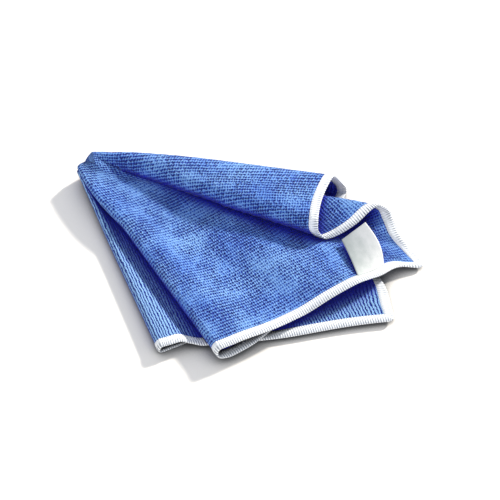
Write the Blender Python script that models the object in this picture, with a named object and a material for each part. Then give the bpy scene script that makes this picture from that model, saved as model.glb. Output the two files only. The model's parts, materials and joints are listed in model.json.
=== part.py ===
"""A square microfibre cloth, folded in quarters and dropped loosely on a table.

The cloth is one sheet, so every point of the solid comes from its place on the flat square.
Two folds cross at the tip. The long fold leaves two edges at the front, each a soft loop, and
the cross fold stacks the four quarters: top, second, third and bottom. The top quarter is
gathered once more near the back, into a pleat and a hollow roll.
"""

import math

import bmesh
import bpy
import numpy as np
from mathutils import Vector

MM = 0.001

# The flat cloth, in millimetres. The cross fold lies off the middle, so the top is the deeper half.
SIDE = 400.0
HALF = SIDE / 2
CORNER_RADIUS = 5.0
CROSS_FOLD_OFFSET = 12.0
TOP_DEPTH = HALF + CROSS_FOLD_OFFSET
UNDER_DEPTH = HALF - CROSS_FOLD_OFFSET
THICKNESS = 1.6

# The tip, where both folds cross: the layers run out from here like the sides of a fan.
TIP = (-148.5, 106.0)
TIP_HEIGHT = 15.0
TIP_HEADING = -32.0
TIP_RADIUS = 15.0
TIP_BULGE = 2.0
TIP_SHARE = 0.10
PLEAT_STARTS = 0.10
PLEAT_FULL = 0.28

# Near the tip the upper loop turns over the lower one, by this many degrees.
SWING = -9.0
SWING_ENDS = 0.42

# The middle of the underside of the object's box, in the frame in which the rows below are given.
CENTRE = (-3.46, 3.43, 0.2)

# One table for each quarter. A row is one generator of the fan, from the tip to the hem:
# hem = distance along the hem from the long fold, x and y = its end on the hem in plan, and the
# height of the cloth's middle surface at each of HEIGHT_SHARES of the way out.
HEIGHT_SHARES = (0.10, 0.22, 0.5, 0.82, 1.0)
COLUMNS = ("hem", "x", "y", "at_tip", "past_tip", "half_way", "near_hem", "at_hem")
TOP_QUARTER = (
    (0.0, -24.0, -98.0, 18.5, 18.5, 16.0, 16.0, 16.3),  # front fold, upper side
    (20.0, -8.4, -90.6, 18.5, 18.5, 16.3, 16.5, 16.8),
    (48.0, 15.4, -77.6, 18.5, 17.5, 13.5, 13.5, 14.0),
    (79.0, 41.5, -61.1, 18.5, 16.5, 12.0, 11.5, 11.5),  # hollow between two waves of the hem
    (113.0, 69.2, -45.0, 18.5, 16.0, 12.0, 14.5, 18.0),
    (132.0, 84.8, -35.9, 18.5, 16.0, 11.5, 15.0, 20.0),  # wave that carries the label
    (155.0, 103.7, -23.6, 18.5, 16.0, 11.0, 13.0, 15.0),
    (181.0, 121.6, -8.5, 18.5, 16.0, 10.5, 10.5, 8.0),
    (200.0, 142.3, -5.0, 18.5, 16.0, 10.5, 10.0, 3.5),  # front corner, down on the table
    (217.0, 131.4, 9.4, 18.5, 16.0, 10.5, 10.0, 6.0),
    (229.0, 124.4, 18.2, 18.5, 16.0, 10.5, 10.5, 10.0),
    (245.0, 119.0, 32.4, 18.5, 16.0, 10.5, 12.0, 14.0),
    (256.0, 114.7, 39.6, 18.5, 16.0, 11.5, 17.0, 20.0),  # back of the pleat
    (268.0, 105.7, 39.2, 20.0, 18.0, 18.0, 24.0, 26.5),  # crest of the pleat
    (291.0, 87.8, 25.9, 20.5, 18.5, 17.0, 19.0, 20.0),
    (318.0, 64.3, 16.1, 20.5, 18.0, 13.5, 13.0, 12.8),  # foot of the roll
    (328.0, 56.9, 15.4, 22.0, 20.5, 20.0, 21.0, 21.0),
    (339.0, 56.2, 21.4, 23.5, 23.5, 26.5, 28.0, 27.5),
    (352.0, 57.7, 33.8, 24.0, 25.0, 29.0, 30.5, 30.0),
    (370.0, 62.8, 52.4, 24.5, 27.0, 31.0, 31.0, 30.5),  # crest of the roll
    (386.0, 70.8, 71.9, 24.5, 27.0, 29.0, 27.5, 26.5),
    (398.0, 75.7, 75.2, 23.5, 23.5, 21.0, 19.0, 18.0),
    (412.0, 82.1, 76.3, 20.0, 17.0, 11.0, 9.0, 8.0),  # cross fold, upper side
)
SECOND_QUARTER = (
    (0.0, -24.0, -98.0, 14.5, 14.0, 8.0, 6.5, 6.5),  # front fold, under side
    (12.0, -13.8, -96.7, 14.5, 14.0, 8.0, 6.5, 6.5),
    (30.0, 0.9, -88.1, 14.5, 13.5, 8.0, 6.5, 6.5),
    (50.0, 15.4, -80.0, 14.5, 13.0, 8.0, 6.5, 6.5),
    (200.0, 93.0, 1.0, 14.5, 12.5, 7.5, 7.0, 7.0),
    (412.0, 64.0, 72.0, 14.5, 12.5, 7.5, 7.0, 7.0),
)
THIRD_QUARTER = (
    (0.0, -69.0, -90.2, 11.0, 11.5, 9.5, 10.0, 10.5),  # second fold edge, upper side
    (12.0, -60.5, -87.1, 11.0, 11.0, 8.5, 9.5, 10.5),
    (21.0, -52.9, -83.6, 11.0, 10.5, 6.5, 8.0, 9.5),
    (30.0, -45.2, -82.9, 11.0, 10.0, 5.0, 5.0, 6.5),
    (41.0, -34.5, -83.3, 11.0, 9.5, 4.5, 4.0, 4.2),
    (99.0, 20.1, -76.8, 11.0, 9.0, 4.2, 4.0, 4.0),
    (200.0, 115.2, -59.6, 11.0, 9.0, 4.0, 4.0, 4.5),  # second corner in view
    (237.0, 107.8, -24.3, 11.0, 9.0, 4.0, 4.0, 4.2),
    (388.0, 64.0, 72.0, 11.0, 9.0, 4.0, 4.0, 4.0),
)
BOTTOM_QUARTER = (
    (0.0, -69.0, -90.2, 7.5, 6.0, 1.0, 1.0, 1.4),  # second fold edge, on the table
    (200.0, 98.0, -47.0, 7.0, 5.0, 1.0, 1.0, 1.4),
    (388.0, 82.1, 76.3, 6.0, 4.5, 1.0, 1.0, 1.4),
)
INNER_INSET = 4.0
INSET_ENDS = 16.0

# Distances along a quarter's hem: (up to, step), measured from the long fold.
TOP_STEPS = ((8.0, 2.0), (200.0, 9.6), (245.0, 7.5), (345.0, 4.0), (384.0, 5.6), (412.0, 3.5))
SECOND_STEPS = ((8.0, 2.0), (200.0, 16.0), (364.0, 20.4), (412.0, 8.0))
THIRD_STEPS = ((8.0, 2.0), (50.0, 7.0), (200.0, 15.0), (340.0, 20.0), (388.0, 8.0))
BOTTOM_STEPS = ((8.0, 2.0), (200.0, 16.0), (376.0, 16.0), (388.0, 3.0))
RING_SHARES = (0.5, 1.0)
RINGS_OUT = 14

# The label: a bare ribbon sewn into the hem. Its far end stands off the cloth, at these points in
# the frame of the rows above, and it bows up on the way there.
LABEL_START = 138.5
LABEL_WIDTH = 29.5
LABEL_FROM_EDGE = 7.0
LABEL_THICKNESS = 1.0
LABEL_GAP = 0.4
LABEL_FAR_LEFT = (73.0, 13.1, 15.5)
LABEL_FAR_RIGHT = (92.2, 24.6, 24.0)
LABEL_BOW_LEFT = (0.4, -0.3, 0.6)
LABEL_BOW_RIGHT = (3.4, -4.6, 5.0)


def through(knots, values, at):
    """A smooth curve through the knots that never overshoots them. Each knot's value may be an array."""
    knots, values = np.asarray(knots, float), np.asarray(values, float)
    at, index = np.asarray(at, float), np.arange(np.size(at)).reshape(np.shape(at))
    if values.ndim == 1:
        values = np.repeat(values[:, None], np.size(at), axis=1)
    else:
        values = values.reshape(len(knots), -1)
    spans = np.diff(knots)[:, None]
    slopes = np.diff(values, axis=0) / spans
    product, total = slopes[:-1] * slopes[1:], slopes[:-1] + slopes[1:]
    bends = np.where(product > 0, 2 * product / np.where(product > 0, total, 1.0), 0.0)
    tangents = np.concatenate([slopes[:1], bends, slopes[-1:]])
    place = np.clip(np.searchsorted(knots, at, side="right") - 1, 0, len(spans) - 1)
    span = spans[place, 0]
    t = np.clip((at - knots[place]) / span, 0.0, 1.0)
    return (
        values[place, index] * (1 + 2 * t) * (1 - t) ** 2
        + values[place + 1, index] * t * t * (3 - 2 * t)
        + span * t * (1 - t) * (tangents[place, index] * (1 - t) - tangents[place + 1, index] * t)
    )


def eased(low, high, at):
    t = np.clip((at - low) / (high - low), 0.0, 1.0)
    return t * t * (3 - 2 * t)


class Quarter:
    """One layer of the folded cloth, as a fan of generators from the tip."""

    def __init__(self, rows, depth, swing=0.0):
        self.swing = math.radians(swing)
        table = dict(zip(COLUMNS, np.array(rows).T))
        self.depth = depth
        out = np.minimum(table["hem"], HALF)
        down = depth - np.maximum(table["hem"] - HALF, 0.0)
        self.angle = np.arctan2(out, down)
        from_tip = np.stack([table["x"] - TIP[0], table["y"] - TIP[1]])
        self.heading = np.arctan2(from_tip[1], from_tip[0])
        self.reach = np.hypot(*from_tip) / np.hypot(out, down)
        self.heights = [table[name] for name in COLUMNS[3:]]

    def height(self, angle, share):
        heights = [through(self.angle, column, angle) for column in self.heights]
        return through(HEIGHT_SHARES, heights, share)

    def plan(self, angle, distance, share):
        """Point in plan at this angle on the flat cloth and this distance from the tip."""
        pleated = eased(PLEAT_STARTS, PLEAT_FULL, share)
        full_turn = angle / (math.pi / 2)
        plain = self.heading[0] + full_turn * (self.heading[-1] - self.heading[0])
        heading = plain + pleated * (through(self.angle, self.heading, angle) - plain)
        heading = heading + self.swing * (1 - eased(TIP_SHARE, SWING_ENDS, share)) * (1 - full_turn)
        reach = 1 + pleated * (through(self.angle, self.reach, angle) - 1)
        return (
            TIP[0] + reach * distance * np.cos(heading),
            TIP[1] + reach * distance * np.sin(heading),
        )


TOP = Quarter(TOP_QUARTER, TOP_DEPTH, SWING)
SECOND = Quarter(SECOND_QUARTER, TOP_DEPTH, SWING)
THIRD = Quarter(THIRD_QUARTER, UNDER_DEPTH)
BOTTOM = Quarter(BOTTOM_QUARTER, UNDER_DEPTH)


def rounded(distance, radius):
    """Round a fold: how far in from its outer line a point lies, and its share of the half gap."""
    turn = np.clip(distance / radius, 0.0, math.pi / 2)
    inward = np.where(
        turn < math.pi / 2,
        radius * (1 - np.cos(turn)),
        distance - (math.pi / 2 - 1) * radius,
    )
    return inward, np.sin(turn)


def on_quarter(quarter, over_long, over_cross, inset, out, down, share):
    """Points of one quarter. Each fold joins it to a neighbour, given as the second quarter."""
    long_gap = (quarter.height(np.zeros_like(out), share) - over_long.height(np.zeros_like(out), share)) / 2
    right = np.full_like(out, math.pi / 2)
    cross_gap = (quarter.height(right, share) - over_cross.height(right, share)) / 2
    from_long, long_share = rounded(out, np.abs(long_gap))
    from_cross, cross_share = rounded(down, np.abs(cross_gap))
    from_cross = from_cross + inset * (1 - eased(0.0, INSET_ENDS, down))
    angle = np.arctan2(from_long, np.maximum(from_cross, 1e-9))
    x, y = quarter.plan(angle, np.hypot(from_long, from_cross), share)
    z = quarter.height(angle, share)
    z = z - long_gap * (1 - long_share) - cross_gap * (1 - cross_share)
    return np.stack([x, y, z], axis=-1)


def cornered(u, v):
    """Draw the corners of the flat square in to a small round."""
    start = HALF - CORNER_RADIUS
    past_u = np.clip((np.abs(u) - start) / CORNER_RADIUS, 0.0, None)
    past_v = np.clip((np.abs(v) - start) / CORNER_RADIUS, 0.0, None)
    drawn_u = np.sign(u) * (start + CORNER_RADIUS * past_u * np.sqrt(1 - past_v**2 / 2))
    drawn_v = np.sign(v) * (start + CORNER_RADIUS * past_v * np.sqrt(1 - past_u**2 / 2))
    both = (past_u > 0) & (past_v > 0)
    return np.where(both, drawn_u, u), np.where(both, drawn_v, v)


def on_cloth(u, v):
    """Middle surface, in millimetres, at flat coordinates u and v from the cloth's middle."""
    u, v = cornered(*np.broadcast_arrays(np.asarray(u, float), np.asarray(v, float)))
    w = v - CROSS_FOLD_OFFSET
    depth = np.where(w < 0, TOP_DEPTH, UNDER_DEPTH)
    share = np.maximum(np.abs(u) / HALF, np.abs(w) / depth)
    cap = np.clip(share / TIP_SHARE, 0.0, 1.0)
    grow = 1 / np.maximum(cap, 1e-6)
    out, down = np.abs(u) * grow, np.abs(w) * grow
    ring_share = np.maximum(share, TIP_SHARE)
    points = np.zeros(u.shape + (3,))
    for quarter, over_long, over_cross, inset, here in (
        (TOP, SECOND, BOTTOM, 0.0, (u >= 0) & (w < 0)),
        (SECOND, TOP, THIRD, INNER_INSET, (u < 0) & (w < 0)),
        (THIRD, BOTTOM, SECOND, INNER_INSET, (u < 0) & (w >= 0)),
        (BOTTOM, THIRD, TOP, 0.0, (u >= 0) & (w >= 0)),
    ):
        found = on_quarter(quarter, over_long, over_cross, inset, out, down, ring_share)
        points = np.where(here[..., None], found, points)
    heading = math.radians(TIP_HEADING)
    ahead = np.array([math.cos(heading), math.sin(heading), 0.0])
    middle = np.array([TIP[0], TIP[1], TIP_HEIGHT]) + TIP_RADIUS * ahead
    turn = cap[..., None] * math.pi / 2
    round_end = middle + (points - middle) * np.sin(turn) - TIP_BULGE * ahead * np.cos(turn)
    points = np.where((cap < 1)[..., None], round_end, points)
    return points - np.array(CENTRE)


def stations(steps):
    """Distances along a quarter's hem, from the long fold to the cross fold."""
    found = [0.0]
    for end, step in steps:
        start = found[-1]
        count = max(1, round((end - start) / step))
        found += [start + (end - start) * i / count for i in range(1, count + 1)]
    return np.array(found)


def hem_points(steps, depth, side_u, side_w):
    """Flat coordinates (u, w) of the hem stations of one quarter."""
    hem = stations(steps)
    out = np.minimum(hem, HALF)
    down = depth - np.maximum(hem - HALF, 0.0)
    return np.stack([side_u * out, side_w * down], axis=-1)


def hem_round():
    """The hem all the way round, from the front fold through the top quarter and back to it."""
    top = hem_points(TOP_STEPS, TOP_DEPTH, 1, -1)
    bottom = hem_points(BOTTOM_STEPS, UNDER_DEPTH, 1, 1)[::-1]
    third = hem_points(THIRD_STEPS, UNDER_DEPTH, -1, 1)
    second = hem_points(SECOND_STEPS, TOP_DEPTH, -1, -1)[::-1]
    return np.concatenate([top[:-1], bottom[:-1], third[:-1], second[:-1]])


def material(name, colour, roughness):
    made = bpy.data.materials.new(name)
    made.use_nodes = True
    shader = made.node_tree.nodes["Principled BSDF"]
    shader.inputs["Base Color"].default_value = (*colour, 1.0)
    shader.inputs["Roughness"].default_value = roughness
    shader.inputs["Metallic"].default_value = 0.0
    return made


def add_object(name, mesh_data, finish):
    mesh = bpy.data.meshes.new(name)
    mesh_data.to_mesh(mesh)
    mesh_data.free()
    mesh.shade_smooth()
    mesh.materials.append(finish)
    made = bpy.data.objects.new(name, mesh)
    bpy.context.scene.collection.objects.link(made)
    return made


def build_cloth():
    hem = hem_round()
    ring_shares = [TIP_SHARE * share for share in RING_SHARES]
    first = ring_shares[-1]
    ring_shares += [first + (1 - first) * i / RINGS_OUT for i in range(1, RINGS_OUT + 1)]
    bm = bmesh.new()
    made = bmesh.ops.create_circle(bm, cap_ends=True, cap_tris=True, segments=len(hem), radius=1.0)
    centre = max(made["verts"], key=lambda vert: len(vert.link_edges))
    ring = sorted(
        (vert for vert in made["verts"] if vert is not centre),
        key=lambda vert: math.atan2(vert.co.y, vert.co.x) % math.tau,
    )
    centre.co = Vector(on_cloth(0.0, CROSS_FOLD_OFFSET)) * MM
    thick = {centre: 0.0}
    for number, share in enumerate(ring_shares):
        if number:
            edges = [bm.edges.get((ring[i], ring[i - 1])) for i in range(len(ring))]
            grown = bmesh.ops.extrude_edge_only(bm, edges=edges)["geom"]
            fresh = [item for item in grown if isinstance(item, bmesh.types.BMVert)]
            ring = in_step(ring, fresh)
        places = on_cloth(hem[:, 0] * share, hem[:, 1] * share + CROSS_FOLD_OFFSET)
        for vert, place in zip(ring, places):
            vert.co = Vector(place) * MM
            thick[vert] = math.sin(min(1.0, share / TIP_SHARE) * math.pi / 2)
    bm.verts.ensure_lookup_table()
    bm.verts.index_update()
    bmesh.ops.recalc_face_normals(bm, faces=bm.faces[:])
    weights = {vert.index: share for vert, share in thick.items()}
    cloth = add_object("cloth", bm, material("cloth_blue", (0.10, 0.22, 0.62), 0.95))
    group = cloth.vertex_groups.new(name="thickness")
    for index, share in weights.items():
        group.add([index], share, "REPLACE")
    solid = cloth.modifiers.new("thickness", "SOLIDIFY")
    solid.thickness = THICKNESS * MM
    solid.offset = 0.0
    solid.vertex_group = group.name
    solid.thickness_vertex_group = 0.05
    return cloth


def in_step(ring, fresh):
    """The new ring of vertices in the order of the ring that it was extruded from."""
    new = set(fresh)
    return [
        next(edge.other_vert(vert) for edge in vert.link_edges if edge.other_vert(vert) in new)
        for vert in ring
    ]


def between(first, second, share):
    return np.array(first) + (np.array(second) - np.array(first)) * share


def build_label():
    across, along = 10, 14
    bm = bmesh.new()
    bmesh.ops.create_grid(bm, x_segments=across, y_segments=along, size=0.5)
    bm.verts.ensure_lookup_table()
    flat = np.array([vert.co[:2] for vert in bm.verts]) + 0.5
    u = LABEL_START + flat[:, 0] * LABEL_WIDTH
    v = np.full_like(u, -HALF + LABEL_FROM_EDGE)
    step = 0.5
    here = on_cloth(u, v)
    normal = np.cross(on_cloth(u + step, v) - here, on_cloth(u, v + step) - here)
    normal /= np.linalg.norm(normal, axis=1, keepdims=True)
    normal *= np.sign(normal[:, 2:3])
    near = here + normal * (THICKNESS / 2 + LABEL_GAP + LABEL_THICKNESS / 2)
    share, gone = flat[:, :1], flat[:, 1:]
    far = between(LABEL_FAR_LEFT, LABEL_FAR_RIGHT, share) - np.array(CENTRE)
    bow = between(LABEL_BOW_LEFT, LABEL_BOW_RIGHT, share) * np.sin(gone * math.pi)
    places = near + (far - near) * gone + bow
    for vert, place in zip(bm.verts, places):
        vert.co = Vector(place) * MM
    bmesh.ops.recalc_face_normals(bm, faces=bm.faces[:])
    label = add_object("label", bm, material("label_white", (0.86, 0.85, 0.82), 0.6))
    solid = label.modifiers.new("thickness", "SOLIDIFY")
    solid.thickness = LABEL_THICKNESS * MM
    solid.offset = 0.0
    return label


def main():
    for old in list(bpy.data.objects):
        bpy.data.objects.remove(old, do_unlink=True)
    build_cloth()
    build_label()


main()
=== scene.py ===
import json
import math

import bmesh
import bpy
import numpy as np
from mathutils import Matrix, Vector

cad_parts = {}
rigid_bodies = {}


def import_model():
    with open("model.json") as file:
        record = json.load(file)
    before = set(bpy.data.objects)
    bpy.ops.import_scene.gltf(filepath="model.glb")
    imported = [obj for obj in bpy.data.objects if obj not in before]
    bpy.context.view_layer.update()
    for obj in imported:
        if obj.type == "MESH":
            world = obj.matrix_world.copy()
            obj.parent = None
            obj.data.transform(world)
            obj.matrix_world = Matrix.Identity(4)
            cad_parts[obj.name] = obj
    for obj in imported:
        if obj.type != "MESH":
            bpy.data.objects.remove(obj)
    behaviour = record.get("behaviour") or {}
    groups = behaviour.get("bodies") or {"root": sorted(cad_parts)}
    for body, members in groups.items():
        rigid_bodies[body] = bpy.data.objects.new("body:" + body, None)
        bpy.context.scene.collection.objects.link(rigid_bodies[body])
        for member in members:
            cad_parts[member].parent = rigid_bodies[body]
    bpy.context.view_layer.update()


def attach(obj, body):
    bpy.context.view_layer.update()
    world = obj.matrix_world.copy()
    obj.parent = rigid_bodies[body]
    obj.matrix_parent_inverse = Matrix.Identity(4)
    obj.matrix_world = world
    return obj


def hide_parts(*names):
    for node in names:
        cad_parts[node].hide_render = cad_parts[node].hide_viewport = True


for startupObject in list(bpy.data.objects):
    bpy.data.objects.remove(startupObject, do_unlink=True)
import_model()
print("frame loaded")

mm = 0.001

# How the cloth is folded, in millimetres, as in the solid. A row is one line from the tip to the hem:
# distance along the hem from the long fold, x and y of the hem there, and the height of the
# cloth at each of heightShares of the way out.
fold = {
    "side": 400.0,
    "cornerRadius": 5.0,
    "crossFoldOffset": 12.0,
    "tip": (-148.5, 106.0),
    "tipHeight": 15.0,
    "tipHeading": -32.0,
    "tipRadius": 15.0,
    "tipBulge": 2.0,
    "tipShare": 0.10,
    "pleatStarts": 0.10,
    "pleatFull": 0.28,
    "swing": -9.0,  # how far the upper loop turns over the lower one at the tip, in degrees
    "swingEnds": 0.42,
    "innerInset": 4.0,
    "insetEnds": 16.0,
    "centre": (-3.46, 3.43, 0.2),
    "heightShares": (0.10, 0.22, 0.5, 0.82, 1.0),
    "top": (
        (0.0, -24.0, -98.0, 18.5, 18.5, 16.0, 16.0, 16.3),  # front fold, upper side
        (20.0, -8.4, -90.6, 18.5, 18.5, 16.3, 16.5, 16.8),
        (48.0, 15.4, -77.6, 18.5, 17.5, 13.5, 13.5, 14.0),
        (79.0, 41.5, -61.1, 18.5, 16.5, 12.0, 11.5, 11.5),  # hollow between two waves of the hem
        (113.0, 69.2, -45.0, 19.0, 16.0, 12.0, 14.5, 18.0),
        (132.0, 84.8, -35.9, 19.3, 16.0, 11.5, 15.0, 20.0),  # wave that carries the label
        (155.0, 103.7, -23.6, 19.8, 16.0, 11.0, 13.0, 15.0),
        (181.0, 121.6, -8.5, 20.4, 16.0, 10.5, 10.5, 8.0),
        (200.0, 142.3, -5.0, 21.0, 16.0, 10.5, 10.0, 3.5),  # front corner, down on the table
        (217.0, 131.4, 9.4, 21.4, 16.0, 10.5, 10.0, 6.0),
        (229.0, 124.4, 18.2, 21.7, 16.0, 10.5, 10.5, 10.0),
        (245.0, 119.0, 32.4, 22.1, 16.0, 10.5, 12.0, 14.0),
        (256.0, 114.7, 39.6, 22.5, 16.0, 11.5, 17.0, 20.0),  # back of the pleat
        (268.0, 105.7, 39.2, 22.8, 18.0, 18.0, 24.0, 26.5),  # crest of the pleat
        (291.0, 87.8, 25.9, 23.2, 18.5, 17.0, 19.0, 20.0),
        (318.0, 64.3, 16.1, 23.6, 18.0, 13.5, 13.0, 12.8),  # foot of the roll
        (328.0, 56.9, 15.4, 23.9, 20.5, 20.0, 21.0, 21.0),
        (339.0, 56.2, 21.4, 24.1, 23.5, 26.5, 28.0, 27.5),
        (352.0, 57.7, 33.8, 24.3, 25.0, 29.0, 30.5, 30.0),
        (370.0, 62.8, 52.4, 24.5, 27.0, 31.0, 31.0, 30.5),  # crest of the roll
        (386.0, 70.8, 71.9, 24.5, 27.0, 29.0, 27.5, 26.5),
        (398.0, 75.7, 75.2, 23.5, 23.5, 21.0, 19.0, 18.0),
        (412.0, 82.1, 76.3, 20.0, 17.0, 11.0, 9.0, 8.0),  # cross fold, upper side
    ),
    "second": (
        (0.0, -24.0, -98.0, 14.5, 14.0, 8.0, 6.5, 6.5),  # front fold, under side
        (12.0, -13.6, -95.0, 14.5, 14.0, 8.0, 6.5, 6.5),
        (30.0, 1.0, -85.2, 14.5, 13.5, 8.0, 6.5, 6.5),
        (50.0, 14.5, -72.5, 14.5, 13.0, 8.0, 6.5, 6.5),
        (200.0, 93.0, 1.0, 14.5, 12.5, 7.5, 7.0, 7.0),
        (412.0, 64.0, 72.0, 14.5, 12.5, 7.5, 7.0, 7.0),
    ),
    "third": (
        (0.0, -69.0, -90.2, 11.0, 11.5, 9.5, 10.0, 10.5),  # second fold edge, upper side
        (12.0, -60.5, -87.1, 11.0, 11.0, 8.5, 9.5, 10.5),
        (21.0, -52.9, -83.6, 11.0, 10.5, 6.5, 8.0, 9.5),
        (30.0, -45.2, -82.9, 11.0, 10.0, 5.0, 5.0, 6.5),
        (41.0, -34.5, -83.3, 11.0, 9.5, 4.5, 4.0, 4.2),
        (99.0, 20.1, -76.8, 11.0, 9.0, 4.2, 4.0, 4.0),
        (200.0, 115.2, -59.6, 11.0, 9.0, 4.0, 4.0, 4.5),  # second corner in view
        (237.0, 107.8, -24.3, 11.0, 9.0, 4.0, 4.0, 4.2),
        (388.0, 64.0, 72.0, 11.0, 9.0, 4.0, 4.0, 4.0),
    ),
    "bottom": (
        (0.0, -69.0, -90.2, 7.5, 6.0, 1.0, 1.0, 1.4),  # second fold edge, on the table
        (200.0, 98.0, -47.0, 7.0, 5.0, 1.0, 1.0, 1.4),
        (388.0, 82.1, 76.3, 6.0, 4.5, 1.0, 1.0, 1.4),
    ),
    # soft ridges and hollows: from and to on the flat cloth (u, v), width, rise
    "creases": (
        ((10.0, -45.0), (26.0, -168.0), 11.0, 1.3),  # along the front fold
        ((46.0, -70.0), (58.0, -178.0), 15.0, -1.5),
        ((84.0, -95.0), (98.0, -176.0), 13.0, 1.6),
        ((128.0, -60.0), (150.0, -150.0), 9.0, -0.7),
        ((60.0, -30.0), (205.0, -60.0), 8.0, 0.8),  # along the roll
        ((90.0, -15.0), (205.0, -28.0), 7.0, -0.7),
        ((30.0, -1.0), (120.0, -44.0), 6.0, -1.6),  # foot of the roll near the tip
        ((128.0, -92.0), (183.0, -135.0), 7.0, -4.0),  # hollow under the pleat
    ),
}
clothHalf = 0.75  # half the sheet's thickness
halfSide = fold["side"] / 2
topDepth = halfSide + fold["crossFoldOffset"]
underDepth = halfSide - fold["crossFoldOffset"]


def through(knots, values, at):
    # a smooth curve through the knots that never overshoots them; each knot's value may be an array
    knots, values = np.asarray(knots, float), np.asarray(values, float)
    if values.ndim == 1:
        values = np.repeat(values[:, None], np.size(at), axis=1)
    index = np.arange(np.size(at))
    spans = np.diff(knots)[:, None]
    slopes = np.diff(values, axis=0) / spans
    product, total = slopes[:-1] * slopes[1:], slopes[:-1] + slopes[1:]
    bends = np.where(product > 0, 2 * product / np.where(product > 0, total, 1.0), 0.0)
    tangents = np.concatenate([slopes[:1], bends, slopes[-1:]])
    place = np.clip(np.searchsorted(knots, at, side="right") - 1, 0, len(spans) - 1)
    span = spans[place, 0]
    t = np.clip((at - knots[place]) / span, 0.0, 1.0)
    return (
        values[place, index] * (1 + 2 * t) * (1 - t) ** 2
        + values[place + 1, index] * t * t * (3 - 2 * t)
        + span * t * (1 - t) * (tangents[place, index] * (1 - t) - tangents[place + 1, index] * t)
    )


def eased(low, high, at):
    t = np.clip((at - low) / (high - low), 0.0, 1.0)
    return t * t * (3 - 2 * t)


class Quarter:
    # one layer of the folded cloth, as a fan of lines from the tip
    def __init__(self, rows, depth, swing=0.0):
        self.swing = math.radians(swing)
        hem, x, y, *heights = np.array(rows).T
        out, down = np.minimum(hem, halfSide), depth - np.maximum(hem - halfSide, 0.0)
        self.angle = np.arctan2(out, down)
        fromTip = np.stack([x - fold["tip"][0], y - fold["tip"][1]])
        self.heading = np.arctan2(fromTip[1], fromTip[0])
        self.reach = np.hypot(*fromTip) / np.hypot(out, down)
        self.heights = heights

    def height(self, angle, share):
        columns = [through(self.angle, column, angle) for column in self.heights]
        return through(fold["heightShares"], columns, share)

    def plan(self, angle, distance, share):
        pleated = eased(fold["pleatStarts"], fold["pleatFull"], share)
        plain = self.heading[0] + angle / (math.pi / 2) * (self.heading[-1] - self.heading[0])
        heading = plain + pleated * (through(self.angle, self.heading, angle) - plain)
        swung = 1 - eased(fold["tipShare"], fold["swingEnds"], share)
        heading = heading + self.swing * swung * (1 - angle / (math.pi / 2))
        reach = 1 + pleated * (through(self.angle, self.reach, angle) - 1)
        tipX, tipY = fold["tip"]
        return tipX + reach * distance * np.cos(heading), tipY + reach * distance * np.sin(heading)


quarters = {
    "top": Quarter(fold["top"], topDepth, fold["swing"]),
    "second": Quarter(fold["second"], topDepth, fold["swing"]),
    "third": Quarter(fold["third"], underDepth),
    "bottom": Quarter(fold["bottom"], underDepth),
}


def roundedFold(distance, radius):
    turn = np.clip(distance / radius, 0.0, math.pi / 2)
    past = distance - (math.pi / 2 - 1) * radius
    return np.where(turn < math.pi / 2, radius * (1 - np.cos(turn)), past), np.sin(turn)


def onQuarter(quarter, overLong, overCross, inset, out, down, share):
    noTurn, fullTurn = np.zeros_like(out), np.full_like(out, math.pi / 2)
    longGap = (quarter.height(noTurn, share) - overLong.height(noTurn, share)) / 2
    crossGap = (quarter.height(fullTurn, share) - overCross.height(fullTurn, share)) / 2
    fromLong, longShare = roundedFold(out, np.abs(longGap))
    fromCross, crossShare = roundedFold(down, np.abs(crossGap))
    fromCross = fromCross + inset * (1 - eased(0.0, fold["insetEnds"], down))
    angle = np.arctan2(fromLong, np.maximum(fromCross, 1e-9))
    x, y = quarter.plan(angle, np.hypot(fromLong, fromCross), share)
    z = quarter.height(angle, share) - longGap * (1 - longShare) - crossGap * (1 - crossShare)
    return np.stack([x, y, z], axis=-1)


def shareOut(u, w):
    # 0 at the tip, 1 at the hem
    return np.maximum(np.abs(u) / halfSide, np.abs(w) / np.where(w < 0, topDepth, underDepth))


def foldedPlace(u, v):
    # where the point (u, v) of the flat cloth lies, in millimetres, before the small creases
    w = v - fold["crossFoldOffset"]
    share = shareOut(u, w)
    cap = np.clip(share / fold["tipShare"], 0.0, 1.0)
    grow = 1 / np.maximum(cap, 1e-6)
    out, down = np.abs(u) * grow, np.abs(w) * grow
    ringShare = np.maximum(share, fold["tipShare"])
    places = np.zeros(u.shape + (3,))
    for name, overLong, overCross, inset, here in (
        ("top", "second", "bottom", 0.0, (u >= 0) & (w < 0)),
        ("second", "top", "third", fold["innerInset"], (u < 0) & (w < 0)),
        ("third", "bottom", "second", fold["innerInset"], (u < 0) & (w >= 0)),
        ("bottom", "third", "top", 0.0, (u >= 0) & (w >= 0)),
    ):
        layers = quarters[name], quarters[overLong], quarters[overCross]
        places[here] = onQuarter(*layers, inset, out[here], down[here], ringShare[here])
    heading = math.radians(fold["tipHeading"])
    ahead = np.array([math.cos(heading), math.sin(heading), 0.0])
    middle = np.array([*fold["tip"], fold["tipHeight"]]) + fold["tipRadius"] * ahead
    turn = cap[..., None] * math.pi / 2
    roundEnd = middle + (places - middle) * np.sin(turn) - fold["tipBulge"] * ahead * np.cos(turn)
    return np.where((cap < 1)[..., None], roundEnd, places) - np.array(fold["centre"])


def creaseRise(u, v):
    rise = np.zeros_like(u)
    for start, end, width, height in fold["creases"]:
        start, along = np.array(start), np.array(end) - np.array(start)
        length = np.hypot(*along)
        along = along / length
        gone = (u - start[0]) * along[0] + (v - start[1]) * along[1]
        beside = (v - start[1]) * along[0] - (u - start[0]) * along[1]
        ends = eased(-width, width, gone) * (1 - eased(length - width, length + width, gone))
        rise += height * ends * np.exp(-((beside / width) ** 2))
    return rise


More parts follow.
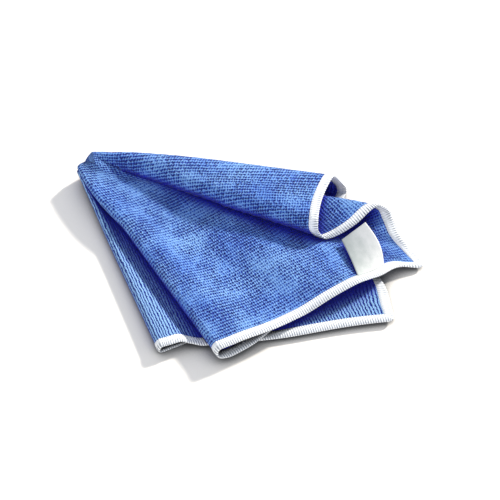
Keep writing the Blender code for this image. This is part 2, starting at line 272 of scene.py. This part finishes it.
def cornered(u, v):
    # the square's corners drawn in to a small round
    start = halfSide - fold["cornerRadius"]
    pastU = np.clip((np.abs(u) - start) / fold["cornerRadius"], 0.0, None)
    pastV = np.clip((np.abs(v) - start) / fold["cornerRadius"], 0.0, None)
    drawnU = np.sign(u) * (start + fold["cornerRadius"] * pastU * np.sqrt(1 - pastV**2 / 2))
    drawnV = np.sign(v) * (start + fold["cornerRadius"] * pastV * np.sqrt(1 - pastU**2 / 2))
    both = (pastU > 0) & (pastV > 0)
    return np.where(both, drawnU, u), np.where(both, drawnV, v)


def clothPlace(u, v):
    # place on the cloth's middle surface with its creases, and the surface's direction there
    u, v = cornered(np.asarray(u, float), np.asarray(v, float))
    step = 0.4
    here = foldedPlace(u, v)
    alongU = foldedPlace(u + step, v) - foldedPlace(u - step, v)
    alongV = foldedPlace(u, v + step) - foldedPlace(u, v - step)
    normal = np.cross(alongU, alongV)
    normal /= np.maximum(np.linalg.norm(normal, axis=1, keepdims=True), 1e-9)
    return here + normal * creaseRise(u, v)[:, None], normal


class Socket:
    # one socket of a shader, so that a pattern is written as plain sums
    def __init__(self, tree, socket):
        self.tree, self.socket = tree, socket

    def node(self, kind, settings=None, output=0, **inputs):
        made = self.tree.nodes.new(kind)
        for name, value in (settings or {}).items():
            setattr(made, name, value)
        for name, value in inputs.items():
            # in0, in1 and so on are found by number, all others by name
            numbered = name[:2] == "in" and name[2:].isdigit()
            place = int(name[2:]) if numbered else name.replace("_", " ")
            if isinstance(value, Socket):
                self.tree.links.new(value.socket, made.inputs[place])
            else:
                made.inputs[place].default_value = value
        return Socket(self.tree, made.outputs[output])

    def maths(self, operation, first, second=0.0):
        return self.node("ShaderNodeMath", {"operation": operation}, in0=first, in1=second)

    def __add__(self, other):
        return self.maths("ADD", self, other)

    def __radd__(self, other):
        return self.maths("ADD", other, self)

    def __sub__(self, other):
        return self.maths("SUBTRACT", self, other)

    def __rsub__(self, other):
        return self.maths("SUBTRACT", other, self)

    def __mul__(self, other):
        return self.maths("MULTIPLY", self, other)

    def __rmul__(self, other):
        return self.maths("MULTIPLY", other, self)

    def size(self):
        return self.maths("ABSOLUTE", self)

    def wave(self, turns, shift=0.0):
        # rises and falls between 0 and 1, so many times over
        return self.maths("SINE", self * (turns * 2 * math.pi) + shift) * 0.5 + 0.5

    def between(self, low, high):
        mapped = {"interpolation_type": "SMOOTHSTEP"}
        return self.node("ShaderNodeMapRange", mapped, Value=self, From_Min=low, From_Max=high)

    def noise(self, scale, detail=2.0):
        return self.node("ShaderNodeTexNoise", Vector=self, Scale=scale, Detail=detail)

    def openness(self, distance):
        # 1 where nothing stands close by, less in the hollows between folds; the materials darken by
        # it as painted shade
        return self.node("ShaderNodeAmbientOcclusion", {"samples": 8}, output=1, Distance=distance)

    def mixed(self, first, second):
        # from the first colour to the second as this value goes from 0 to 1
        mix = {"data_type": "RGBA"}
        return self.node("ShaderNodeMix", mix, output=2, in0=self, in6=first, in7=second)


def newMaterial(name, constants):
    made = bpy.data.materials.new(name)
    made.use_nodes = True
    shader = made.node_tree.nodes["Principled BSDF"]
    for socket, value in constants.items():
        shader.inputs[socket].default_value = value
    return made, shader, Socket(made.node_tree, None)


def flatCoordinates(start):
    # the place on the flat piece, and its two numbers
    uv = start.node("ShaderNodeUVMap", {"uv_map": "flat"})
    first = uv.node("ShaderNodeSeparateXYZ", Vector=uv)
    return uv, first, Socket(first.tree, first.socket.node.outputs[1])


def wire(shader, name, value):
    value.tree.links.new(value.socket, shader.inputs[name])


def bumpFrom(height, strength, distance):
    return height.node("ShaderNodeBump", Height=height, Strength=strength, Distance=distance)


def clothMaterial():
    look = {
        "ribs": 160,  # in each direction of the cloth
        "columns": 205,  # of loops across the face
        # deep is painted shade in the knit's grooves, and lit the loops' tops in light; the colour
        # after them is a painted highlight on the crests, mixed with lighter patches of brushed pile
        "deep": (0.001, 0.018, 0.27, 1.0),
        "lit": (0.080, 0.210, 0.61, 1.0),
        "brushedAndLitCrest": (0.27, 0.46, 0.72, 1.0),
        # painted shade in the hollows between folds and under overhangs, by how open each place is
        "hollowShade": (0.001, 0.004, 0.38, 1.0),
        "hollow": 28.0 * mm,
        "open": (0.42, 0.93),
        "wander": 3.0,  # how far the rows stray, and the columns and ribs sway
        "sway": 5.0,
        "uneven": (5.5, 7.0, 5.0),  # shift from loop to loop of rows, columns and ribs
        "depths": (0.40, 0.22, 0.85),  # between rows, between columns, where both meet
        "ribDepth": 2.2,
        "turns": (0.515, 0.545),  # share of the square where the face gives way to the back
        "pile": 0.8,
        "shading": (0.15, 0.95),
        "brushedAndLitCrestRange": (0.75, 1.35),
        "bumpDistance": 1.1 * mm,
    }
    constants = {"Roughness": 0.92, "Sheen Weight": 0.12, "Sheen Roughness": 0.45}
    constants["Sheen Tint"] = (0.75, 0.87, 1.0, 1.0)
    made, shader, start = newMaterial("clothBlue", constants)
    uv, across, along = flatCoordinates(start)
    ribs, columns = look["ribs"], look["columns"]
    # one loop of yarn after another, none quite like the next
    loops = uv.node("ShaderNodeCombineXYZ", X=across * columns, Y=along * ribs).noise(1.0, 1.0)
    tall = uv.node("ShaderNodeCombineXYZ", X=across * ribs, Y=along * columns).noise(1.0, 1.0)
    wander = (uv.noise(9.0, 3.0) - 0.5) * look["wander"]
    sway = uv.noise(60.0, 1.0) * look["sway"]
    rowShift, columnShift, ribShift = look["uneven"]
    betweenRows = 1 - along.wave(ribs, wander + loops * rowShift)
    betweenColumns = 1 - across.wave(columns, sway + loops * columnShift)
    betweenRibs = 1 - across.wave(ribs, sway + tall * ribShift)
    # close loops on the face, strong ribs on the back
    openKnit = uv.noise(22.0, 3.0).between(0.32, 0.68) * 0.75 + 0.5
    rowDepth, columnDepth, holeDepth = look["depths"]
    grooves = betweenRows * rowDepth + betweenColumns * columnDepth
    grooves = grooves + betweenRows * betweenColumns * holeDepth
    face = 1.1 - grooves * (loops * 1.8 + 0.1) * openKnit
    back = 2.0 - betweenRibs.between(0.5, 0.95) * look["ribDepth"] + (tall - 0.5) * 1.3
    turned = along.between(*look["turns"])
    knit = face * (1 - turned) + back * turned
    height = knit + (uv.noise(430.0, 2.0) - 0.5) * look["pile"]
    cloud = uv.noise(14.0, 3.0)
    # painted shade in the grooves between loops and ribs, lighter on their tops, with a cloud of
    # uneven tone; the crests get a painted highlight, partly patches of lighter brushed pile
    light = (height + (cloud - 0.5) * 0.6).between(*look["shading"])
    brushedAndLitCrest = (height * 0.8 + cloud * 0.7).between(*look["brushedAndLitCrestRange"]) * (turned * 0.2 + 0.8)
    surface = brushedAndLitCrest.mixed(light.mixed(look["deep"], look["lit"]), look["brushedAndLitCrest"])
    # painted shade: the cloth's colour darkens in the hollows between folds and under overhangs
    unshadedShare = uv.openness(look["hollow"]).between(*look["open"])
    wire(shader, "Base Color", unshadedShare.mixed(look["hollowShade"], surface))
    wire(shader, "Normal", bumpFrom(height, 1.0, look["bumpDistance"]))
    return made


def threadMaterial():
    look = {
        "stitches": 800,
        "thread": (0.82, 0.83, 0.83, 1.0),
        "shade": (0.11, 0.13, 0.17, 1.0),
        # painted shade: the white threads greyed in the hollows and under the folds
        "hollowShade": (0.05, 0.052, 0.058, 1.0),
        "hollow": 24.0 * mm,
        "open": (0.26, 0.55),
        "fibres": (900.0, 5.0),  # around the hem and over its edge
        "frayed": 1.6,
        "tick": (0.1, 0.6),
        "tickDepth": 0.72,
        "tickEnds": (0.19, 0.32),  # share of the thread's way from the rim
        "bumpDistance": 0.5 * mm,
    }
    constants = {"Roughness": 0.7, "Sheen Weight": 0.2, "Sheen Roughness": 0.5}
    made, shader, start = newMaterial("threadWhite", constants)
    uv, around, over = flatCoordinates(start)
    fibresAround, fibresOver = look["fibres"]
    stretched = {"X": around * fibresAround, "Y": over * fibresOver}
    fibre = uv.node("ShaderNodeCombineXYZ", **stretched).noise(1.0, 2.0)
    thread = around.wave(look["stitches"], fibre * look["frayed"])
    # a dark tick between two stitches, deepest where the thread turns over the edge
    groove = 1 - thread.between(*look["tick"])
    fromRim = (0.5 - over).size()
    ticks = groove * ((1 - fromRim.between(*look["tickEnds"])) * look["tickDepth"] + 0.04)
    light = 1.0 - ticks - (fibre - 0.5) * 0.5
    surface = light.mixed(look["shade"], look["thread"])
    # painted shade: the threads darker where folds close in around them
    unshadedShare = uv.openness(look["hollow"]).between(*look["open"])
    wire(shader, "Base Color", unshadedShare.mixed(look["hollowShade"], surface))
    wire(shader, "Normal", bumpFrom(thread * 0.8 + fibre * 0.4, 0.8, look["bumpDistance"]))
    return made


def labelMaterial():
    look = {
        "satin": (0.72, 0.71, 0.68, 1.0),
        "shade": (0.42, 0.45, 0.42, 1.0),
        "weft": 90,
        "warp": 54,
        "shading": (0.3, 1.3),
        "bumpDistance": 0.12 * mm,
    }
    made, shader, start = newMaterial("labelSatin", {"Roughness": 0.42, "Sheen Weight": 0.1})
    uv, across, along = flatCoordinates(start)
    weft, warp = along.wave(look["weft"]), across.wave(look["warp"])
    cloud = uv.noise(5.0, 2.0)
    # painted shading: the label darker towards its left edge and lighter towards its right, with the
    # weave and a cloud in its tone
    light = (weft * 0.2 + warp * 0.1 + cloud * 0.6 + across * 0.7).between(*look["shading"])
    wire(shader, "Base Color", light.mixed(look["shade"], look["satin"]))
    wire(shader, "Normal", bumpFrom(weft + warp * 0.5, 0.35, look["bumpDistance"]))
    return made


def addPiece(name, mesh, material, replaced):
    data = bpy.data.meshes.new(name)
    mesh.to_mesh(data)
    mesh.free()
    data.shade_smooth()
    data.materials.append(material)
    piece = bpy.data.objects.new(name, data)
    bpy.context.scene.collection.objects.link(piece)
    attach(piece, "root")
    if replaced:
        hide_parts(replaced)
    return piece


def gridOf(acrossCount, alongCount):
    # a grid whose corners' own coordinates run from -1 to 1, and those coordinates
    mesh = bmesh.new()
    bmesh.ops.create_grid(mesh, x_segments=acrossCount, y_segments=alongCount, size=1.0)
    mesh.verts.ensure_lookup_table()
    return mesh, np.array([vert.co[:2] for vert in mesh.verts])


def placeGrid(mesh, places, flat):
    layer = mesh.loops.layers.uv.new("flat")
    mesh.verts.index_update()
    for vert, place in zip(mesh.verts, places):
        vert.co = Vector(place) * mm
    for face in mesh.faces:
        for loop in face.loops:
            loop[layer].uv = flat[loop.vert.index]


def buildCloth():
    cloth = {
        "segments": 176,
        "gathered": 0.6,  # how much closer together at the folds and at the hem
        "trimmed": 0.7,  # so that the hem's threads cover the edge
        "thinnest": 0.1,  # share of the thickness that is left at the very tip
    }
    mesh, at = gridOf(cloth["segments"], cloth["segments"])
    spread = at - cloth["gathered"] * np.sin(2 * math.pi * at) / (2 * math.pi)
    u = (halfSide - cloth["trimmed"]) * spread[:, 0]
    w = (np.where(spread[:, 1] < 0, topDepth, underDepth) - cloth["trimmed"]) * spread[:, 1]
    v = w + fold["crossFoldOffset"]
    places, _ = clothPlace(u, v)
    placeGrid(mesh, places, np.stack([u, v], axis=1) / fold["side"] + 0.5)
    bmesh.ops.recalc_face_normals(mesh, faces=mesh.faces[:])
    piece = addPiece("clothSheet", mesh, clothMaterial(), "cloth")
    group = piece.vertex_groups.new(name="thickness")
    weights = np.sin(np.minimum(shareOut(u, w) / fold["tipShare"], 1.0) * math.pi / 2)
    for index, weight in enumerate(weights):
        group.add([index], float(weight), "REPLACE")
    solid = piece.modifiers.new("thickness", "SOLIDIFY")
    solid.thickness = 2 * clothHalf * mm
    solid.offset = 0.0
    solid.vertex_group = group.name
    solid.thickness_vertex_group = cloth["thinnest"]
    print("cloth laid out in its folds")
    return piece


def buildEdging():
    edging = {
        "width": 6.2,
        "over": 0.35,  # how far the threads stand over the cloth
        "beyond": 1.1,  # how far they reach past its edge
        "stitch": 2.0,
        "slant": 0.10,
        "plump": 0.22,
        "plumpBeyond": 0.3,
        "evenStitch": 0.6,  # neither on a thread nor between two
        "stations": 3200,
        "rimStep": 1.5,  # how far in the edge's own direction is taken
        "mergeWithin": 0.001,
    }
    width, beyond, outer = edging["width"], edging["beyond"], clothHalf + edging["over"]
    # distance in from the edge, height over the middle of the cloth
    upper = (
        (width, clothHalf * 0.6),
        (width * 0.93, outer * 0.9),
        (width * 0.55, outer),
        (width * 0.15, outer),
        (-beyond * 0.7, outer * 0.62),
    )
    lower = tuple((inward, -over) for inward, over in reversed(upper))
    profile = upper + ((-beyond, 0.0),) + lower
    rows = len(profile) - 1
    mesh, at = gridOf(edging["stations"], rows)
    around = (at[:, 0] + 1) / 2 * 4 * fold["side"]
    row = np.rint((at[:, 1] + 1) / 2 * rows).astype(int)
    inward, over = np.array(profile).T[:, row]
    side = np.floor(around / fold["side"]).astype(int) % 4
    gone = around % fold["side"] - halfSide
    edge = np.full_like(gone, halfSide)
    edgeU = np.choose(side, (gone, edge, -gone, -edge))
    edgeV = np.choose(side, (-edge, gone, edge, -gone))
    # the threads run straight in from the edge, and meet in a mitre at each corner
    reach = halfSide - np.maximum(inward, 0.0)
    stitched = np.abs(np.sin(math.pi * (around + edging["slant"] * inward) / edging["stitch"]))
    atMitre = np.minimum(np.abs(edgeU), np.abs(edgeV)) > reach
    fuller = np.where(atMitre, 0.0, stitched - edging["evenStitch"])
    base, normal = clothPlace(np.clip(edgeU, -reach, reach), np.clip(edgeV, -reach, reach))
    near = halfSide - edging["rimStep"]
    inner, _ = clothPlace(np.clip(edgeU, -near, near), np.clip(edgeV, -near, near))
    rim, _ = clothPlace(edgeU, edgeV)
    outward = rim - inner
    outward /= np.maximum(np.linalg.norm(outward, axis=1, keepdims=True), 1e-9)
    lifted = over * (1 + edging["plump"] * fuller * (np.abs(over) > clothHalf * 0.5))
    past = np.maximum(-inward, 0.0) * (1 + edging["plumpBeyond"] * fuller)
    places = base + normal * lifted[:, None] + outward * past[:, None]
    placeGrid(mesh, places, np.stack([around / (4 * fold["side"]), row / rows], axis=1))
    bmesh.ops.remove_doubles(mesh, verts=mesh.verts[:], dist=edging["mergeWithin"] * mm)
    bmesh.ops.recalc_face_normals(mesh, faces=mesh.faces[:])
    piece = addPiece("hemThreads", mesh, threadMaterial(), None)
    print("hem sewn over with", round(4 * fold["side"] / edging["stitch"]), "stitches")
    return piece


def buildLabel():
    # the ribbon runs from the hem to a far end that stands clear of the cloth, and bows on the way
    label = {
        "start": 138.5,  # along the hem from the long fold
        "width": 29.5,
        "fromEdge": 4.6,
        "thickness": 0.3,
        "gap": 0.06,
        "segments": (24, 36),
        "farLeft": (73.0, 13.1, 15.5),
        "farRight": (92.2, 24.6, 24.0),
        "bowLeft": (0.4, -0.3, 0.6),
        "bowRight": (3.4, -4.6, 5.0),
    }
    mesh, at = gridOf(*label["segments"])
    across, along = (at + 1).T / 2
    v = np.full_like(across, -halfSide + label["fromEdge"])
    places, normal = clothPlace(label["start"] + across * label["width"], v)
    normal = normal * np.sign(normal[:, 2:3])
    near = places + normal * (clothHalf + label["gap"] + label["thickness"] / 2)
    farLeft, farRight, bowLeft, bowRight = (
        np.array(label[name]) for name in ("farLeft", "farRight", "bowLeft", "bowRight")
    )
    across, along = across[:, None], along[:, None]
    far = farLeft + (farRight - farLeft) * across - np.array(fold["centre"])
    bow = (bowLeft + (bowRight - bowLeft) * across) * np.sin(along * math.pi)
    places = near + (far - near) * along + bow
    placeGrid(mesh, places, np.hstack([across, along]))
    bmesh.ops.recalc_face_normals(mesh, faces=mesh.faces[:])
    piece = addPiece("labelRibbon", mesh, labelMaterial(), "label")
    solid = piece.modifiers.new("thickness", "SOLIDIFY")
    solid.thickness = label["thickness"] * mm
    solid.offset = 0.0
    print("label sewn in")
    return piece


def buildStage():
    stage = {
        "floorHalf": 2.0,  # in metres
        "sky": (0.90, 0.965, 1.10, 1.0),
        "floor": (0.95, 0.90, 0.82, 1.0),
        "contactShadow": (0.14, 0.145, 0.155, 1.0),  # painted shadow under the cloth's overhanging edges
        "nearby": 26.0 * mm,
        "open": (0.12, 0.95),
        "skyStrength": 0.60,
        "sunColour": (1.0, 0.975, 0.93),
        # strength, soft edge in degrees, direction
        "suns": {
            "keyLight": (4.1, 6.0, (-17.0, -16.0, -13.0)),
            "frontLight": (1.35, 50.0, (1.0, 10.0, -2.2)),
        },
    }
    mesh, _ = gridOf(1, 1)
    bmesh.ops.scale(mesh, vec=(stage["floorHalf"], stage["floorHalf"], 1.0), verts=mesh.verts[:])
    data = bpy.data.meshes.new("floor")
    mesh.to_mesh(data)
    mesh.free()
    floor = bpy.data.objects.new("floor", data)
    bpy.context.scene.collection.objects.link(floor)
    paper, shader, start = newMaterial("floorPaper", {"Roughness": 0.8})
    # painted shadow on the floor, darker where the cloth stands close by
    unshadedShare = start.openness(stage["nearby"]).between(*stage["open"])
    wire(shader, "Base Color", unshadedShare.mixed(stage["contactShadow"], stage["floor"]))
    data.materials.append(paper)
    world = bpy.data.worlds.new("studio")
    world.use_nodes = True
    sky = world.node_tree.nodes["Background"]
    sky.inputs["Color"].default_value = stage["sky"]
    sky.inputs["Strength"].default_value = stage["skyStrength"]
    bpy.context.scene.world = world
    for name, (strength, soft, direction) in stage["suns"].items():
        sun = bpy.data.objects.new(name, bpy.data.lights.new(name, "SUN"))
        sun.data.energy = strength
        sun.data.color = stage["sunColour"]
        sun.data.angle = math.radians(soft)
        sun.rotation_euler = Vector(direction).to_track_quat("-Z", "Y").to_euler()
        bpy.context.scene.collection.objects.link(sun)
    bpy.context.scene.view_settings.view_transform = "Standard"
    bpy.context.scene.view_settings.look = "Medium High Contrast"


def buildCamera():
    view = {
        "lens": 120.0,
        "seen": 400.0,  # width of the picture at the cloth, in millimetres
        "elevation": 50.0,  # in degrees
        "raised": 12.0,  # so that the cloth lies a little below the picture's middle
        "sensor": 36.0,
    }
    tilt = math.radians(view["elevation"])
    distance = view["seen"] * view["lens"] / view["sensor"]
    up = np.array([0.0, math.sin(tilt), math.cos(tilt)])
    aim = up * view["raised"] - np.array(fold["centre"])
    camera = bpy.data.objects.new("camera", bpy.data.cameras.new("camera"))
    camera.data.lens = view["lens"]
    camera.data.sensor_width = view["sensor"]
    camera.location = Vector(aim + np.array([0.0, -math.cos(tilt), math.sin(tilt)]) * distance) * mm
    camera.rotation_euler = (math.pi / 2 - tilt, 0.0, 0.0)
    bpy.context.scene.collection.objects.link(camera)
    bpy.context.scene.camera = camera


cloth = buildCloth()
edging = buildEdging()
label = buildLabel()
buildStage()
buildCamera()
print("stage and camera set")
